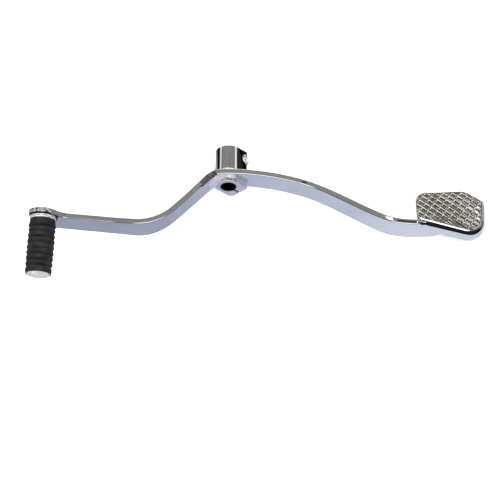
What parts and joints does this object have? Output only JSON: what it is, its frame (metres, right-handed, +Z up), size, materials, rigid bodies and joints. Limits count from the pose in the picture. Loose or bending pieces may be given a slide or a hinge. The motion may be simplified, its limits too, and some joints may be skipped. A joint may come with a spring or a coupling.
{
  "type": "gear shift lever",
  "caption": "Heel-and-toe gear shift lever: cranked flat bar on a splined clamp hub, with a ribbed rubber toe roller and a knurled heel pad.",
  "frame": {"origin": "centre of the serrated clamp bore, at the middle of the hub's length", "axes": "+X towards the heel pad, +Y inboard along the gear shaft, +Z up"},
  "size_m": [0.2987, 0.0917, 0.0371],
  "materials": {
    "chrome_plate": "polished chrome plate on steel",
    "plated_weld": "chrome plate over a weld bead",
    "zinc_steel": "zinc-plated steel",
    "spring_steel": "dark spring steel",
    "bush_steel": "bright turned steel",
    "nylon": "black nylon",
    "peg_rubber": "matt black moulded rubber"
  },
  "bodies": {
    "lever": {"lever_arm": "chrome_plate", "clamp_hub": "chrome_plate", "hub_weld": "plated_weld", "pinch_bolt": "zinc_steel", "lock_washer": "spring_steel", "plain_washer": "zinc_steel", "toe_pin": "bush_steel", "toe_rivet_washer": "zinc_steel", "toe_thrust_washer": "nylon", "toe_end_washer": "zinc_steel", "heel_pad": "chrome_plate", "heel_tread": "chrome_plate", "heel_weld": "plated_weld"},
    "toe_roller": {"toe_sleeve": "bush_steel", "toe_rubber": "peg_rubber"}
  },
  "joints": [
    {"name": "toe_roller_spin", "type": "hinge", "parent": "lever", "child": "toe_roller", "pos_m": [-0.1192, -0.0378, 0.003], "axis": [-0.0341, -0.9776, -0.2079], "continuous": true}
  ]
}
